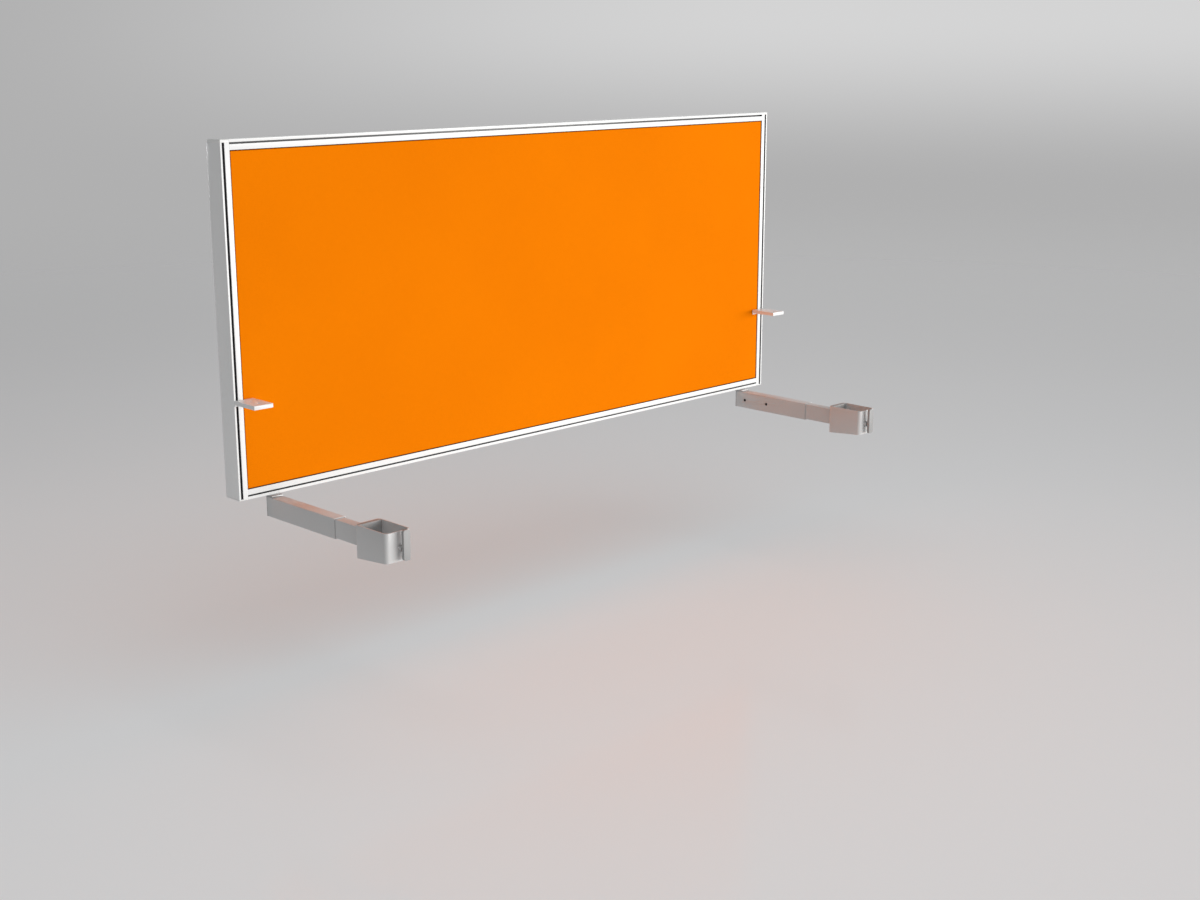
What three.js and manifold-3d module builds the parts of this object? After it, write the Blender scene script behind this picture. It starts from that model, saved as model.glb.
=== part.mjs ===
// Desk privacy panel: a fabric-faced screen in an extruded aluminium frame that stands behind a desk.
// Two slotted brackets meet the underside of the desk top, and two telescopic arms run forward
// from the screen's lower rail to collars that clamp round the desk's legs.
//
// Millimetres. X runs along the panel, Y from the sitter towards the back, Z up.
// Origin: mid-width, in the plane of the panel's front face, at the underside of the desk top.

import * as THREE from 'three';
import { mergeVertices } from 'three/addons/utils/BufferGeometryUtils.js';
import Module from 'manifold-3d';

const wasm = await Module();
wasm.setup();

// ---------------------------------------------------------------- driving dimensions

const PANEL_WIDTH = 1800;
const PANEL_HEIGHT = 790;
const PANEL_DEPTH = 53;
const PANEL_DROP = 228; // the panel's bottom edge below the desk's underside

// frame extrusions: u runs from the outer edge towards the infill, v from front to back
const FACE = 22.7;
const WEB = 2.5;
const WALL = 2;
const UPRIGHT_SLOT = 6;
const RAIL_SLOT = 4;
const SLOT_INNER = 10.4; // the slot's inner edge, the same on uprights and rails
const SLOT_UNDERCUT = 2.4;
const SLOT_DEPTH = 8;
const GROOVE_DEPTH = 7.5; // the groove round the inside that takes the core board
const GROOVE_WIDTH = 13;

const TOP_CAP = 6.5;
const BOTTOM_CAP = 2.5;
const CAP_PLUG = 12;
const CAP_FIT = 0.3;

const KEY_LEG = 90;
const KEY_FIT = 0.2;

// infill: a core board with a fabric-wrapped pin board on each side
const CORE = 12;
const CORE_FIT = 0.5;
const TILE_GAP = 0.8; // between the fabric's edges and the frame
const TILE_RECESS = 1; // the fabric's face behind the frame's face
const FABRIC = 1.2;
const FABRIC_FIT = 0.1;
const STRIP_THICK = 1.5; // hook-and-loop strip between a tile and the core
const STRIP_TALL = 25;
const STRIP_INSET = 80; // in from the tile's ends
const STRIP_RISE = 110; // in from the tile's top and bottom edges

// desk brackets
const BRACKET_WIDTH = 48;
const BRACKET_REACH = 78;
const BRACKET_PLATE = 2.5;
const BRACKET_LIP = 9;
const BRACKET_FLANGE = 13;
const SLIDE_GAP = 0.3; // between pieces that slide on each other
const WOOD_SCREW_HOLE = 4.5;
const WOOD_SCREW_PLACES = [0.35, 0.75]; // shares of the bracket's reach
const BOLT_MARGIN = 0.45; // between the bolt's head and the bracket's top plate
const NUT_TALL = 12;
const NUT_THICK = 4.5;
const NUT_FIT = 0.4;

// arms
const ARM_INSET = 90; // the arm's centre line in from the panel's end
const SADDLE_PLATE = 4;
const TUBE_WIDTH = 30;
const TUBE_HEIGHT = 46;
const TUBE_WALL = 1.5;
const TUBE_CORNER = 2;
const TIGHTEST_CORNER = 0.5;
const TUBE_REAR = 5; // the outer tube's rear end behind the panel's front face
const TUBE_LENGTH = 253;
const TONGUE = 45;
const TONGUE_FIT = 0.25;
const END_PLATE = 3;
const SADDLE_LAP = 20; // the saddle's flange over the tube
const SADDLE_SCREW_PLACES = [0.35, 0.75]; // shares of the saddle's flange behind the tube
const SADDLE_MARGIN = 5; // the saddle's flange short of the panel's back face
const INNER_GAP = 0.5;
const GLIDE_GAP = 0.2;
const GLIDE_FLANGE = 3;
const GLIDE_PLUG = 4;
const TRAVEL_OUT = 38;
const TRAVEL_IN = 12;
const TRAVEL_SPARE = 3; // left between the glide plug and the tongue when the arm is pushed in
const BLOCK_SCREW_BACK = 27; // the tongue's screw in front of the panel's front face
const LOCK_SCREW_BACK = 107;
const LOCK_NUT = 10;
const LOCK_NUT_THICK = 3;
const LOCK_NUT_TALL = 16;

// leg collars
const LEG_WIDTH = 60;
const LEG_DEPTH = 90;
const LEG_CORNER = 7;
const LEG_BACK = 356; // the leg's rear face in front of the panel's front face
const COLLAR_HEIGHT = 74;
const COLLAR_RISE = 8; // the collar's top above the panel's bottom edge
const COLLAR_TAPER = 9; // the bottom edge rises this much from the rear to the front
const COLLAR_WALL = 2.5;
const COLLAR_GAP = 0.4;
const PACKER = 9.1;
const PACKER_SHORT = 2; // the packer stops short of the collar's bottom edge
const PAD = 2;
const PAD_WIDTH = 40;
const PAD_MARGIN = 8;
const PAD_FIT = 0.3;

// clamp lever
const LEVER_OFFSET = 7; // from the arm's centre line towards mid-width
const LEVER_STAND = 12; // clear gap between the collar and the lever
const LEVER_WIDTH = 17;
const LEVER_CORNER = 5;
const LEVER_THICK = 7;
const LEVER_UP = 42.5;
const LEVER_DOWN = 23.5;
const STUD = 8;
const STUD_IN_LEVER = 5;
const WELD_NUT = 13;
const WELD_NUT_THICK = 6;

// fasteners: shank diameter, head diameter, head height, socket across corners
const TAP_SPARE = 2; // a tapped hole's depth past its screw
const RAIL_SCREW_SPARE = 3; // the rail screws' length past the rail's web
const TONGUE_SCREW = 12;
const SOCKET_FLOOR = 0.35; // share of the head's height under the socket
const M4 = { shank: 4, head: 7.6, rise: 2.2, socket: 2.9 };
const M5 = { shank: 5, head: 9.5, rise: 2.75, socket: 3.5 };
const HOLE_FIT = 0.4; // a hole's diameter over its screw's
const ROUND = 24;
const CORNER_FACETS = 5;
const MERGE_WITHIN = 1e-4; // points nearer than this are one point

// ---------------------------------------------------------------- places worked out from them

const HALF_WIDTH = PANEL_WIDTH / 2;
const BOTTOM = -PANEL_DROP;
const TOP = BOTTOM + PANEL_HEIGHT;
const MID_DEPTH = PANEL_DEPTH / 2;
const GROOVE_FLOOR = FACE - GROOVE_DEPTH;
const SLOT_MIDDLE = SLOT_INNER - UPRIGHT_SLOT / 2;

const TUBE_TOP = BOTTOM - SADDLE_PLATE;
const TUBE_BOTTOM = TUBE_TOP - TUBE_HEIGHT;
const TUBE_MIDDLE = (TUBE_TOP + TUBE_BOTTOM) / 2;
const TUBE_FRONT = TUBE_REAR - TUBE_LENGTH;
const TONGUE_FRONT = TUBE_REAR - TONGUE;
const INNER_WIDTH = TUBE_WIDTH - 2 * (TUBE_WALL + INNER_GAP);
const INNER_HEIGHT = TUBE_HEIGHT - 2 * (TUBE_WALL + INNER_GAP);
const INNER_REAR = TONGUE_FRONT - TRAVEL_SPARE - TRAVEL_IN - GLIDE_FLANGE;

const COLLAR_TOP = BOTTOM + COLLAR_RISE;
const COLLAR_BOTTOM = COLLAR_TOP - COLLAR_HEIGHT;
const COLLAR_MIDDLE = (COLLAR_TOP + COLLAR_BOTTOM) / 2;
const LEG_REAR = -LEG_BACK;
const LEG_FRONT = LEG_REAR - LEG_DEPTH;
const COLLAR_REAR = LEG_REAR + COLLAR_GAP + PACKER + COLLAR_WALL;
const COLLAR_FRONT = LEG_FRONT - PAD - COLLAR_GAP - COLLAR_WALL;
const COLLAR_HALF = LEG_WIDTH / 2 + COLLAR_GAP + COLLAR_WALL;

// ---------------------------------------------------------------- finishes

const finish = (color, roughness, metalness) => (
  new THREE.MeshStandardMaterial({ color, roughness, metalness })
);
const whitePowder = () => finish(0xf3f4f3, 0.35, 0);
const greyPowder = () => finish(0xa9a9a8, 0.45, 0);
const whitePlastic = () => finish(0xeeeeec, 0.5, 0);
const greyPlastic = () => finish(0x8f8f8e, 0.55, 0);
const blackPlastic = () => finish(0x1f1f20, 0.6, 0);
const orangeFabric = () => finish(0xff8200, 0.95, 0);
const board = () => finish(0xb89b72, 0.9, 0);
const zinc = () => finish(0xb4b7b9, 0.35, 1);
const blackSteel = () => finish(0x232324, 0.45, 0.8);
const castAlloy = () => finish(0x9c9ea0, 0.5, 0.7);

// ---------------------------------------------------------------- solids

// An outline or a hole through the points, wound counterclockwise whichever way they are given.
const polygon = (points) => {
  const corners = points.map(([a, b]) => new THREE.Vector2(a, b));
  return new THREE.Shape(THREE.ShapeUtils.isClockWise(corners) ? corners.reverse() : corners);
};

const roundedOutline = (a0, a1, b0, b1, radius) => {
  const shape = new THREE.Shape();
  shape.moveTo(a0 + radius, b0);
  shape.absarc(a1 - radius, b0 + radius, radius, -Math.PI / 2, 0);
  shape.absarc(a1 - radius, b1 - radius, radius, 0, Math.PI / 2);
  shape.absarc(a0 + radius, b1 - radius, radius, Math.PI / 2, Math.PI);
  shape.absarc(a0 + radius, b0 + radius, radius, Math.PI, 1.5 * Math.PI);
  return shape;
};

// An outline run along an axis from low to high. Along Z the outline is (x, y), along X it is (y, z),
// and along Y it is (x, z).
const AXES = {
  z: new THREE.Matrix4(),
  x: new THREE.Matrix4().makeBasis(
    new THREE.Vector3(0, 1, 0), new THREE.Vector3(0, 0, 1), new THREE.Vector3(1, 0, 0)),
  y: new THREE.Matrix4().makeBasis(
    new THREE.Vector3(1, 0, 0), new THREE.Vector3(0, 0, 1), new THREE.Vector3(0, -1, 0)),
};
const prism = (shape, axis, low, high) => {
  const geometry = new THREE.ExtrudeGeometry(shape, {
    depth: high - low,
    bevelEnabled: false,
    curveSegments: CORNER_FACETS,
  });
  geometry.translate(0, 0, axis === 'y' ? -high : low);
  geometry.applyMatrix4(AXES[axis]);
  return geometry;
};

const block = (x0, x1, y0, y1, z0, z1) => {
  const geometry = new THREE.BoxGeometry(Math.abs(x1 - x0), Math.abs(y1 - y0), Math.abs(z1 - z0));
  geometry.translate((x0 + x1) / 2, (y0 + y1) / 2, (z0 + z1) / 2);
  return geometry;
};

// A round or hexagonal rod between two points on one axis.
const rod = (start, end, diameter, sides = ROUND) => {
  const from = new THREE.Vector3(...start);
  const along = new THREE.Vector3(...end).sub(from);
  const geometry = new THREE.CylinderGeometry(diameter / 2, diameter / 2, along.length(), sides);
  const up = new THREE.Vector3(0, 1, 0);
  const turn = new THREE.Quaternion().setFromUnitVectors(up, along.clone().normalize());
  geometry.applyQuaternion(turn);
  const middle = from.addScaledVector(along, 0.5);
  geometry.translate(middle.x, middle.y, middle.z);
  return geometry;
};

const toSolid = (geometry) => {
  const bare = geometry.clone();
  bare.deleteAttribute('normal');
  bare.deleteAttribute('uv');
  const merged = mergeVertices(bare, MERGE_WITHIN);
  return new wasm.Manifold(new wasm.Mesh({
    numProp: 3,
    vertProperties: new Float32Array(merged.getAttribute('position').array),
    triVerts: new Uint32Array(merged.getIndex().array),
  }));
};

const toGeometry = (solid) => {
  const mesh = solid.getMesh();
  const geometry = new THREE.BufferGeometry();
  geometry.setAttribute('position', new THREE.BufferAttribute(mesh.vertProperties, 3));
  geometry.setIndex(new THREE.BufferAttribute(mesh.triVerts, 1));
  const flat = geometry.toNonIndexed();
  flat.computeVertexNormals();
  return flat;
};

const cut = (base, ...tools) => {
  const result = tools.reduce((solid, tool) => solid.subtract(toSolid(tool)), toSolid(base));
  return toGeometry(result);
};

const join = (base, ...pieces) => {
  const result = pieces.reduce((solid, piece) => solid.add(toSolid(piece)), toSolid(base));
  return toGeometry(result);
};

// A button-head screw: seat is the point under the head, and out is the unit direction of the head.
const buttonScrew = (size, seat, out, length) => {
  const at = (distance) => seat.map((value, i) => value + out[i] * distance);
  const blank = join(rod(at(0), at(size.rise), size.head), rod(at(-length), at(size.rise / 2), size.shank));
  return cut(blank, rod(at(size.rise * SOCKET_FLOOR), at(size.rise + 1), size.socket, 6));
};

const screwHole = (size, start, end) => rod(start, end, size.shank + HOLE_FIT);

// ---------------------------------------------------------------- scene graph

const panel = new THREE.Group();

const assembly = () => {
  const group = new THREE.Group();
  panel.add(group);
  return group;
};

const piece = (group, name, geometry, material) => {
  const mesh = new THREE.Mesh(geometry, material);
  mesh.name = name;
  group.add(mesh);
};

const SIDES = [['left', -1], ['right', 1]];

// ---------------------------------------------------------------- frame

// An upright or a rail: an outline with a slot in the front and back faces and a groove round the
// inside, run along an axis, with three chambers cut through it. place(u, v) gives a point of the outline.
const extrusion = (slotWidth, place, axis, low, high) => {
  const slotOuter = SLOT_INNER - slotWidth;
  const chamberOuter = slotOuter - SLOT_UNDERCUT;
  const chamberInner = SLOT_INNER + SLOT_UNDERCUT;
  const grooveFront = MID_DEPTH - GROOVE_WIDTH / 2;
  const frontHalf = [
    [0, 0], [slotOuter, 0], [slotOuter, WALL], [chamberOuter, WALL], [chamberOuter, SLOT_DEPTH],
    [chamberInner, SLOT_DEPTH], [chamberInner, WALL], [SLOT_INNER, WALL], [SLOT_INNER, 0], [FACE, 0],
    [FACE, grooveFront], [GROOVE_FLOOR, grooveFront],
  ];
  const backHalf = frontHalf.map(([u, v]) => [u, PANEL_DEPTH - v]).reverse();
  const outline = polygon([...frontHalf, ...backHalf].map(([u, v]) => place(u, v)));
  const chamber = (u0, u1, v0, v1) => {
    const corners = [[u0, v0], [u1, v0], [u1, v1], [u0, v1]].map(([u, v]) => place(u, v));
    return prism(polygon(corners), axis, low - 1, high + 1);
  };
  const middleFront = SLOT_DEPTH + WALL;
  return cut(
    prism(outline, axis, low, high),
    chamber(WEB, GROOVE_FLOOR - WALL, middleFront, PANEL_DEPTH - middleFront),
    chamber(chamberInner + WALL, FACE - WALL, WALL, grooveFront - WALL),
    chamber(chamberInner + WALL, FACE - WALL, PANEL_DEPTH - grooveFront + WALL, PANEL_DEPTH - WALL));
};

// An end cap: a plate over the whole section with a plug in the middle chamber.
const endCap = (edge, side, z0, z1, plugEnd) => {
  const inset = SLOT_DEPTH + WALL + CAP_FIT;
  const plugLow = Math.min(plugEnd, z1);
  const plugHigh = Math.max(plugEnd, z0);
  return join(
    block(edge, edge - side * FACE, 0, PANEL_DEPTH, z0, z1),
    block(edge - side * (WEB + CAP_FIT), edge - side * (GROOVE_FLOOR - WALL - CAP_FIT),
      inset, PANEL_DEPTH - inset, plugLow, plugHigh));
};

// A corner key: an L that lies in the grooves of an upright and a rail.
const cornerKey = (side, cornerZ, up) => {
  const near = GROOVE_FLOOR + KEY_FIT;
  const far = FACE - KEY_FIT;
  const x = (u) => side * (HALF_WIDTH - u);
  const z = (w) => cornerZ + up * w;
  const half = GROOVE_WIDTH / 2 - KEY_FIT;
  const outline = [
    [x(near), z(near)], [x(KEY_LEG), z(near)], [x(KEY_LEG), z(far)],
    [x(far), z(far)], [x(far), z(KEY_LEG)], [x(near), z(KEY_LEG)],
  ];
  return prism(polygon(outline), 'y', MID_DEPTH - half, MID_DEPTH + half);
};

const frame = assembly();
for (const [name, side] of SIDES) {
  const edge = side * HALF_WIDTH;
  const toUpright = (u, v) => [edge - side * u, v];
  const upright = extrusion(UPRIGHT_SLOT, toUpright, 'z', BOTTOM + BOTTOM_CAP, TOP - TOP_CAP);
  piece(frame, `${name}_upright`, upright, whitePowder());
  piece(frame, `${name}_top_cap`,
    endCap(edge, side, TOP - TOP_CAP, TOP, TOP - TOP_CAP - CAP_PLUG), whitePlastic());
  piece(frame, `${name}_bottom_cap`,
    endCap(edge, side, BOTTOM, BOTTOM + BOTTOM_CAP, BOTTOM + BOTTOM_CAP + CAP_PLUG), whitePlastic());
  piece(frame, `${name}_top_corner_key`, cornerKey(side, TOP, -1), castAlloy());
  piece(frame, `${name}_bottom_corner_key`, cornerKey(side, BOTTOM, 1), castAlloy());
}

const railEnd = HALF_WIDTH - FACE;
const topRail = extrusion(RAIL_SLOT, (u, v) => [v, TOP - u], 'x', -railEnd, railEnd);
piece(frame, 'top_rail', topRail, whitePowder());

// the saddles' screws come up through the lower rail's outer web
const armX = (side) => side * (HALF_WIDTH - ARM_INSET);
const saddleRear = PANEL_DEPTH - SADDLE_MARGIN;
const railScrewsY = SADDLE_SCREW_PLACES.map(
  (share) => TUBE_REAR + END_PLATE + share * (saddleRear - TUBE_REAR - END_PLATE));
const railScrewSpots = SIDES.flatMap(([, side]) => railScrewsY.map((y) => [armX(side), y]));
const railHoles = railScrewSpots.map(([x, y]) => screwHole(M5, [x, y, BOTTOM - 1], [x, y, BOTTOM + WEB + 1]));
const bottomRail = extrusion(RAIL_SLOT, (u, v) => [v, BOTTOM + u], 'x', -railEnd, railEnd);
piece(frame, 'bottom_rail', cut(bottomRail, ...railHoles), whitePowder());

// ---------------------------------------------------------------- infill

const infill = assembly();

// The core board fills the groove all round, notched at its corners for the keys.
const coreOutline = () => {
  const edge = GROOVE_FLOOR + CORE_FIT;
  const shoulder = FACE + CORE_FIT;
  const leg = KEY_LEG + CORE_FIT;
  const corner = (side, cornerZ, up) => [[edge, leg], [shoulder, leg], [shoulder, shoulder], [leg, shoulder],
    [leg, edge]].map(([u, w]) => [side * (HALF_WIDTH - u), cornerZ + up * w]);
  return polygon([
    ...corner(-1, BOTTOM, 1), ...corner(1, BOTTOM, 1).reverse(),
    ...corner(1, TOP, -1), ...corner(-1, TOP, -1).reverse(),
  ]);
};
piece(infill, 'core_board', prism(coreOutline(), 'y', MID_DEPTH - CORE / 2, MID_DEPTH + CORE / 2), board());

const tileHalf = HALF_WIDTH - FACE - TILE_GAP;
const tileLow = BOTTOM + FACE + TILE_GAP;
const tileHigh = TOP - FACE - TILE_GAP;
const tileBack = MID_DEPTH - CORE / 2 - STRIP_THICK;

// back(y) keeps a depth for the front tile and turns it round for the rear one
for (const [name, back] of [['front', (y) => y], ['rear', (y) => PANEL_DEPTH - y]]) {
  const lining = FABRIC + FABRIC_FIT;
  const pinBoard = block(-tileHalf + lining, tileHalf - lining, back(TILE_RECESS + lining), back(tileBack),
    tileLow + lining, tileHigh - lining);
  piece(infill, `${name}_pin_board`, pinBoard, board());
  const cover = cut(
    block(-tileHalf, tileHalf, back(TILE_RECESS), back(tileBack), tileLow, tileHigh),
    block(-tileHalf + FABRIC, tileHalf - FABRIC, back(TILE_RECESS + FABRIC), back(tileBack + 1),
      tileLow + FABRIC, tileHigh - FABRIC));
  piece(infill, `${name}_fabric`, cover, orangeFabric());
  const levels = [['upper', tileHigh - STRIP_RISE - STRIP_TALL], ['lower', tileLow + STRIP_RISE]];
  for (const [level, low] of levels) {
    const strip = block(-tileHalf + STRIP_INSET, tileHalf - STRIP_INSET,
      back(tileBack), back(tileBack + STRIP_THICK), low, low + STRIP_TALL);
    piece(infill, `${name}_${level}_grip_strip`, strip, blackPlastic());
  }
}

// ---------------------------------------------------------------- desk brackets

const boltZ = -(BRACKET_PLATE + M5.head / 2 + BOLT_MARGIN);

// A pressed tray under the desk top: lips down both sides and the front, and a deeper flange at the panel.
const deskBracket = (side, boltX) => {
  const outer = side * HALF_WIDTH;
  const inner = outer - side * BRACKET_WIDTH;
  const front = -SLIDE_GAP - BRACKET_REACH;
  const rear = -SLIDE_GAP;
  const steel = side * BRACKET_PLATE;
  const lips = join(
    block(outer, inner, front, rear, -BRACKET_LIP, 0),
    block(outer, inner, rear - BRACKET_PLATE, rear, -BRACKET_FLANGE, 0));
  const hollow = block(outer - steel, inner + steel, front + BRACKET_PLATE, rear - BRACKET_PLATE,
    -BRACKET_FLANGE - 1, -BRACKET_PLATE);
  const middle = (outer + inner) / 2;
  const screwHoles = WOOD_SCREW_PLACES.map((share) => {
    const y = rear - share * BRACKET_REACH;
    return rod([middle, y, -BRACKET_PLATE - 1], [middle, y, 1], WOOD_SCREW_HOLE);
  });
  return cut(lips, hollow, screwHole(M5, [boltX, rear - BRACKET_PLATE - 1, boltZ], [boltX, rear + 1, boltZ]),
    ...screwHoles);
};

const slotNut = (boltX) => {
  const half = UPRIGHT_SLOT / 2 + SLOT_UNDERCUT - NUT_FIT;
  return cut(
    block(boltX - half, boltX + half, WALL, WALL + NUT_THICK, boltZ - NUT_TALL / 2, boltZ + NUT_TALL / 2),
    screwHole(M5, [boltX, 0, boltZ], [boltX, WALL + NUT_THICK + 1, boltZ]));
};

for (const [name, side] of SIDES) {
  const group = assembly();
  const boltX = side * (HALF_WIDTH - SLOT_MIDDLE);
  piece(group, `${name}_desk_bracket`, deskBracket(side, boltX), whitePowder());
  piece(group, `${name}_slot_nut`, slotNut(boltX), zinc());
  const seat = [boltX, -SLIDE_GAP - BRACKET_PLATE, boltZ];
  const grip = SLIDE_GAP + BRACKET_PLATE + WALL + NUT_THICK;
  piece(group, `${name}_bracket_bolt`, buttonScrew(M5, seat, [0, -1, 0], grip), zinc());
}

// ---------------------------------------------------------------- arms

const squareTube = (x, width, height, front, rear) => {
  const ring = (inset) => roundedOutline(x - width / 2 + inset, x + width / 2 - inset,
    TUBE_MIDDLE - height / 2 + inset, TUBE_MIDDLE + height / 2 - inset,
    Math.max(TUBE_CORNER - inset, TIGHTEST_CORNER));
  return cut(prism(ring(0), 'y', front, rear), prism(ring(TUBE_WALL), 'y', front - 1, rear + 1));
};

// The saddle: a tongue plugged into the outer tube, a plate over the tube's end, and a flange under the rail.
const saddleBracket = (x, innerFace, toCentre) => {
  const clear = TUBE_WALL + TONGUE_FIT;
  const body = join(
    block(x - TUBE_WIDTH / 2, x + TUBE_WIDTH / 2, TUBE_REAR, TUBE_REAR + END_PLATE, TUBE_BOTTOM, BOTTOM),
    block(x - TUBE_WIDTH / 2, x + TUBE_WIDTH / 2, TUBE_REAR - SADDLE_LAP, saddleRear, TUBE_TOP, BOTTOM),
    block(x - TUBE_WIDTH / 2 + clear, x + TUBE_WIDTH / 2 - clear, TONGUE_FRONT, TUBE_REAR + 1,
      TUBE_BOTTOM + clear, TUBE_TOP - clear));
  const railTaps = railScrewsY.map((y) => screwHole(M5, [x, y, TUBE_TOP - 1], [x, y, BOTTOM + 1]));
  const sideTap = screwHole(M4, [innerFace, -BLOCK_SCREW_BACK, TUBE_MIDDLE],
    [innerFace - toCentre * (TONGUE_SCREW + TAP_SPARE), -BLOCK_SCREW_BACK, TUBE_MIDDLE]);
  return cut(body, ...railTaps, sideTap);
};

const outerTube = (x, innerFace, toCentre) => {
  const past = innerFace - toCentre * (TUBE_WALL + 1);
  const holes = [BLOCK_SCREW_BACK, LOCK_SCREW_BACK].map((back) => screwHole(M4,
    [innerFace + toCentre, -back, TUBE_MIDDLE], [past, -back, TUBE_MIDDLE]));
  return cut(squareTube(x, TUBE_WIDTH, TUBE_HEIGHT, TUBE_FRONT, TUBE_REAR), ...holes);
};

// The inner tube is slotted on its inner face, and the slot's ends stop it on the locking screw.
const innerTube = (x, toCentre) => {
  const half = (M4.shank + HOLE_FIT) / 2;
  const face = x + toCentre * INNER_WIDTH / 2;
  const slot = block(face + toCentre, face - toCentre * (TUBE_WALL + 1),
    -LOCK_SCREW_BACK - TRAVEL_IN - half, -LOCK_SCREW_BACK + TRAVEL_OUT + half,
    TUBE_MIDDLE - half, TUBE_MIDDLE + half);
  return cut(squareTube(x, INNER_WIDTH, INNER_HEIGHT, COLLAR_REAR, INNER_REAR), slot);
};

const glidePlug = (x) => {
  const flange = GLIDE_GAP + TUBE_WALL;
  const plug = TUBE_WALL + GLIDE_GAP;
  return join(
    block(x - TUBE_WIDTH / 2 + flange, x + TUBE_WIDTH / 2 - flange, INNER_REAR, INNER_REAR + GLIDE_FLANGE,
      TUBE_BOTTOM + flange, TUBE_TOP - flange),
    block(x - INNER_WIDTH / 2 + plug, x + INNER_WIDTH / 2 - plug, INNER_REAR - GLIDE_PLUG, INNER_REAR + 1,
      TUBE_MIDDLE - INNER_HEIGHT / 2 + plug, TUBE_MIDDLE + INNER_HEIGHT / 2 - plug));
};

const lockNut = (x, toCentre) => {
  const face = x + toCentre * (INNER_WIDTH / 2 - TUBE_WALL - GLIDE_GAP);
  return cut(
    block(face, face - toCentre * LOCK_NUT_THICK,
      -LOCK_SCREW_BACK - LOCK_NUT / 2, -LOCK_SCREW_BACK + LOCK_NUT / 2,
      TUBE_MIDDLE - LOCK_NUT_TALL / 2, TUBE_MIDDLE + LOCK_NUT_TALL / 2),
    screwHole(M4, [face + toCentre, -LOCK_SCREW_BACK, TUBE_MIDDLE],
      [face - toCentre * (LOCK_NUT_THICK + 1), -LOCK_SCREW_BACK, TUBE_MIDDLE]));
};

// ---------------------------------------------------------------- leg collar and its clamp

// A band of steel round the leg, deeper at the back, where the arm is welded on, than at the front.
const legCollar = (x, leverX) => {
  const past = COLLAR_WALL;
  const slope = COLLAR_TAPER / (COLLAR_REAR - COLLAR_FRONT);
  const underside = polygon([
    [COLLAR_REAR + past, COLLAR_BOTTOM - past * slope],
    [COLLAR_FRONT - past, COLLAR_BOTTOM + COLLAR_TAPER + past * slope],
    [COLLAR_FRONT - past, COLLAR_BOTTOM - past],
    [COLLAR_REAR + past, COLLAR_BOTTOM - past]]);
  const sleeve = (inset, radius) => roundedOutline(x - COLLAR_HALF + inset, x + COLLAR_HALF - inset,
    COLLAR_FRONT + inset, COLLAR_REAR - inset, radius);
  return cut(prism(sleeve(0, LEG_CORNER + COLLAR_WALL), 'z', COLLAR_BOTTOM, COLLAR_TOP),
    prism(sleeve(COLLAR_WALL, LEG_CORNER), 'z', COLLAR_BOTTOM - 1, COLLAR_TOP + 1),
    prism(underside, 'x', x - COLLAR_HALF - 1, x + COLLAR_HALF + 1),
    rod([leverX, COLLAR_FRONT - 1, COLLAR_MIDDLE], [leverX, COLLAR_FRONT + COLLAR_WALL + 1, COLLAR_MIDDLE],
      STUD + HOLE_FIT));
};

// The packer fills the space behind the leg, rounded like the sleeve's rear corners.
const rearPacker = (x) => {
  const half = LEG_WIDTH / 2 + COLLAR_GAP - PAD_FIT;
  const rear = COLLAR_REAR - COLLAR_WALL - PAD_FIT;
  const shape = new THREE.Shape();
  shape.moveTo(x - half, LEG_REAR);
  shape.lineTo(x + half, LEG_REAR);
  shape.absarc(x + half - LEG_CORNER, rear - LEG_CORNER, LEG_CORNER, 0, Math.PI / 2);
  shape.absarc(x - half + LEG_CORNER, rear - LEG_CORNER, LEG_CORNER, Math.PI / 2, Math.PI);
  return prism(shape, 'z', COLLAR_BOTTOM + PACKER_SHORT, COLLAR_TOP);
};

const pressurePad = (x) => block(x - PAD_WIDTH / 2, x + PAD_WIDTH / 2, LEG_FRONT - PAD, LEG_FRONT,
  COLLAR_BOTTOM + COLLAR_TAPER + PAD_MARGIN, COLLAR_TOP - PAD_MARGIN);

const weldNut = (leverX) => cut(
  rod([leverX, COLLAR_FRONT - WELD_NUT_THICK, COLLAR_MIDDLE], [leverX, COLLAR_FRONT, COLLAR_MIDDLE],
    WELD_NUT / Math.cos(Math.PI / 6), 6),
  rod([leverX, COLLAR_FRONT - WELD_NUT_THICK - 1, COLLAR_MIDDLE], [leverX, COLLAR_FRONT + 1, COLLAR_MIDDLE],
    STUD + HOLE_FIT));

const leverBack = COLLAR_FRONT - LEVER_STAND;

const clampStud = (leverX) => rod([leverX, leverBack - STUD_IN_LEVER, COLLAR_MIDDLE],
  [leverX, LEG_FRONT - PAD - PAD_FIT, COLLAR_MIDDLE], STUD);

const clampLever = (leverX) => cut(
  prism(roundedOutline(leverX - LEVER_WIDTH / 2, leverX + LEVER_WIDTH / 2, COLLAR_MIDDLE - LEVER_DOWN,
    COLLAR_MIDDLE + LEVER_UP, LEVER_CORNER), 'y', leverBack - LEVER_THICK, leverBack),
  rod([leverX, leverBack - STUD_IN_LEVER - PAD_FIT, COLLAR_MIDDLE], [leverX, leverBack + 1, COLLAR_MIDDLE],
    STUD + HOLE_FIT));

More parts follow.
